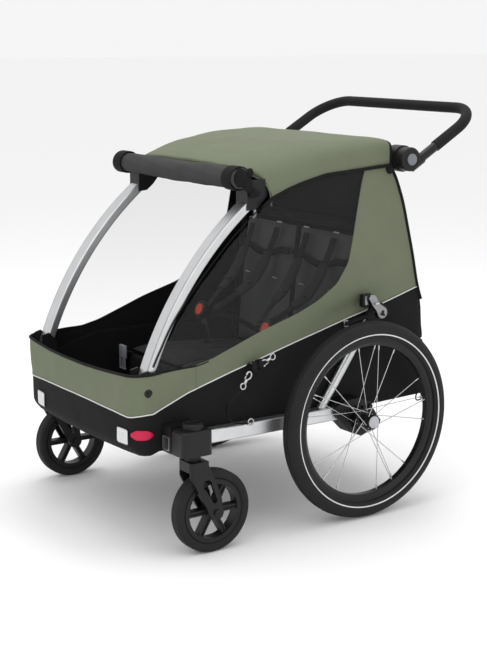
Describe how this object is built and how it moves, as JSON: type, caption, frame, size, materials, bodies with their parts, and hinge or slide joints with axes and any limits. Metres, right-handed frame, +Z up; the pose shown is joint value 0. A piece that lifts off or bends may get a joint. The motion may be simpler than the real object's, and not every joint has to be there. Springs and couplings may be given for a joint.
{
  "type": "child bicycle trailer",
  "caption": "Two-seat child bicycle trailer with stroller casters and push bar: fabric body on a folding aluminium frame, spoked wheels",
  "frame": {"origin": "on the floor under the middle of the whole trailer, midway between its sides and between the nose and the push bar", "axes": "+Z up, -Y forward (direction of travel), +X the trailer's own left"},
  "size_m": [0.798, 1.036, 1.016],
  "materials": {
    "black_fabric": "woven black polyester, matt",
    "green_fabric": "sage green coated polyester, with a dark mesh window in each side",
    "grey_fabric": "dark grey polyester",
    "aluminium_tube": "satin anodised",
    "black_tube": "black powder coat",
    "black_plastic": "glass-filled nylon, fine grain",
    "steel": "plated steel",
    "grey_plastic": "mid grey moulding",
    "foam": "closed-cell foam sleeve",
    "tyre_rubber": "black rubber",
    "black_rim": "black anodised box rim",
    "red_plastic": "signal red",
    "reflector": "silver reflector plates; the corner tab is red",
    "webbing": "woven webbing"
  },
  "bodies": {
    "chassis": {"side_rail_left": "aluminium_tube", "side_rail_right": "aluminium_tube", "front_cross_tube": "aluminium_tube", "axle_tube": "aluminium_tube", "strut_left": "aluminium_tube", "strut_right": "aluminium_tube", "latch_housings": "black_plastic", "axle_receiver_left": "black_plastic", "axle_receiver_right": "black_plastic", "arch_feet": "black_plastic", "arch_pivot_pins": "steel", "wheel_axles": "steel", "caster_bracket_left": "black_plastic", "caster_bracket_right": "black_plastic", "tub": "black_fabric", "upper_cover": "green_fabric", "seat": "black_fabric", "seat_back": "black_fabric", "harness": "black_fabric", "buckles": "black_plastic", "front_reflectors": "reflector", "safety_strap": "webbing", "snap_hooks": "steel"},
    "upper_frame": {"arch_left": "aluminium_tube", "arch_right": "aluminium_tube", "front_bow": "black_tube", "roof_connectors": "black_plastic", "rolled_cover": "grey_fabric", "roof_side_tubes": "black_tube", "roof_cover": "green_fabric", "hub_housings": "black_plastic"},
    "back_frame": {"back_frame": "black_tube"},
    "push_bar": {"handlebar_tube": "black_tube", "handlebar_grip": "foam", "handlebar_knuckles": "black_plastic"},
    "brake_bar": {"brake_bar": "black_plastic"},
    "push_bar_button_left": {"handlebar_button_left": "grey_plastic"},
    "wheel_left": {"wheel_tyre_left": "tyre_rubber", "wheel_rim_left": "black_rim", "wheel_spokes_left": "steel", "wheel_hub_left": "black_plastic"},
    "wheel_release_left": {"wheel_hub_button_left": "grey_plastic"},
    "caster_fork_left": {"caster_fork_left": "black_plastic"},
    "caster_wheel_left": {"caster_core_left": "black_plastic", "caster_tyre_left": "tyre_rubber"},
    "caster_lock_left": {"caster_lock_left": "black_plastic"},
    "latch_lever_left": {"latch_lever_left": "steel"},
    "buckle_button_left": {"buckle_button_left": "red_plastic"},
    "push_bar_button_right": {"handlebar_button_right": "grey_plastic"},
    "wheel_right": {"wheel_tyre_right": "tyre_rubber", "wheel_rim_right": "black_rim", "wheel_spokes_right": "steel", "wheel_hub_right": "black_plastic"},
    "wheel_release_right": {"wheel_hub_button_right": "grey_plastic"},
    "caster_fork_right": {"caster_fork_right": "black_plastic"},
    "caster_wheel_right": {"caster_core_right": "black_plastic", "caster_tyre_right": "tyre_rubber"},
    "caster_lock_right": {"caster_lock_right": "black_plastic"},
    "latch_lever_right": {"latch_lever_right": "steel"},
    "buckle_button_right": {"buckle_button_right": "red_plastic"}
  },
  "joints": [
    {"name": "frame_fold", "type": "hinge", "parent": "chassis", "child": "upper_frame", "pos_m": [0, -0.471, 0.382], "axis": [-1, 0, 0], "range_deg": [0, 30], "deforming": ["upper_cover", "seat_back", "harness"]},
    {"name": "back_frame_fold", "type": "hinge", "parent": "upper_frame", "child": "back_frame", "pos_m": [0, 0.225, 0.846], "axis": [-1, 0, 0], "range_deg": [0, 53]},
    {"name": "push_bar_tilt", "type": "hinge", "parent": "upper_frame", "child": "push_bar", "pos_m": [0, 0.265, 0.886], "axis": [1, 0, 0], "range_deg": [-80, 60]},
    {"name": "parking_brake", "type": "hinge", "parent": "chassis", "child": "brake_bar", "pos_m": [0, 0.165, 0.232], "axis": [1, 0, 0], "range_deg": [0, 6.5]},
    {"name": "push_bar_button_left", "type": "slide", "parent": "push_bar", "child": "push_bar_button_left", "axis": [-1, 0, 0], "range_m": [0, 0.004], "stiffness_N_per_m": 400},
    {"name": "wheel_spin_left", "type": "hinge", "parent": "chassis", "child": "wheel_left", "pos_m": [0.366, 0.107, 0.25], "axis": [1, 0, 0], "continuous": true},
    {"name": "wheel_release_left", "type": "slide", "parent": "wheel_left", "child": "wheel_release_left", "axis": [-1, 0, 0], "range_m": [0, 0.005], "stiffness_N_per_m": 400},
    {"name": "caster_swivel_left", "type": "hinge", "parent": "chassis", "child": "caster_fork_left", "pos_m": [0.357, -0.397, 0.25], "axis": [0, 0, 1], "continuous": true},
    {"name": "caster_spin_left", "type": "hinge", "parent": "caster_fork_left", "child": "caster_wheel_left", "pos_m": [0.357, -0.349, 0.1], "axis": [1, 0, 0], "continuous": true},
    {"name": "caster_lock_left", "type": "hinge", "parent": "chassis", "child": "caster_lock_left", "pos_m": [0.357, -0.397, 0.31], "axis": [0, 0, 1], "range_deg": [0, 90]},
    {"name": "frame_latch_left", "type": "hinge", "parent": "chassis", "child": "latch_lever_left", "pos_m": [0.32, 0.186, 0.502], "axis": [-1, 0, 0], "range_deg": [0, 60]},
    {"name": "buckle_button_left", "type": "slide", "parent": "chassis", "child": "buckle_button_left", "axis": [0, 0.9404, -0.3401], "range_m": [0, 0.002], "stiffness_N_per_m": 300},
    {"name": "push_bar_button_right", "type": "slide", "parent": "push_bar", "child": "push_bar_button_right", "axis": [1, 0, 0], "range_m": [0, 0.004], "stiffness_N_per_m": 400},
    {"name": "wheel_spin_right", "type": "hinge", "parent": "chassis", "child": "wheel_right", "pos_m": [-0.366, 0.107, 0.25], "axis": [1, 0, 0], "continuous": true},
    {"name": "wheel_release_right", "type": "slide", "parent": "wheel_right", "child": "wheel_release_right", "axis": [1, 0, 0], "range_m": [0, 0.005], "stiffness_N_per_m": 400},
    {"name": "caster_swivel_right", "type": "hinge", "parent": "chassis", "child": "caster_fork_right", "pos_m": [-0.357, -0.397, 0.25], "axis": [0, 0, 1], "continuous": true},
    {"name": "caster_spin_right", "type": "hinge", "parent": "caster_fork_right", "child": "caster_wheel_right", "pos_m": [-0.357, -0.349, 0.1], "axis": [1, 0, 0], "continuous": true},
    {"name": "caster_lock_right", "type": "hinge", "parent": "chassis", "child": "caster_lock_right", "pos_m": [-0.357, -0.397, 0.31], "axis": [0, 0, 1], "range_deg": [0, 90]},
    {"name": "frame_latch_right", "type": "hinge", "parent": "chassis", "child": "latch_lever_right", "pos_m": [-0.32, 0.186, 0.502], "axis": [-1, 0, 0], "range_deg": [0, 60]},
    {"name": "buckle_button_right", "type": "slide", "parent": "chassis", "child": "buckle_button_right", "axis": [0, 0.9404, -0.3401], "range_m": [0, 0.002], "stiffness_N_per_m": 300}
  ],
  "couplings": [
    {"joint": "back_frame_fold", "follows": "frame_fold", "ratio": 1.7583}
  ]
}
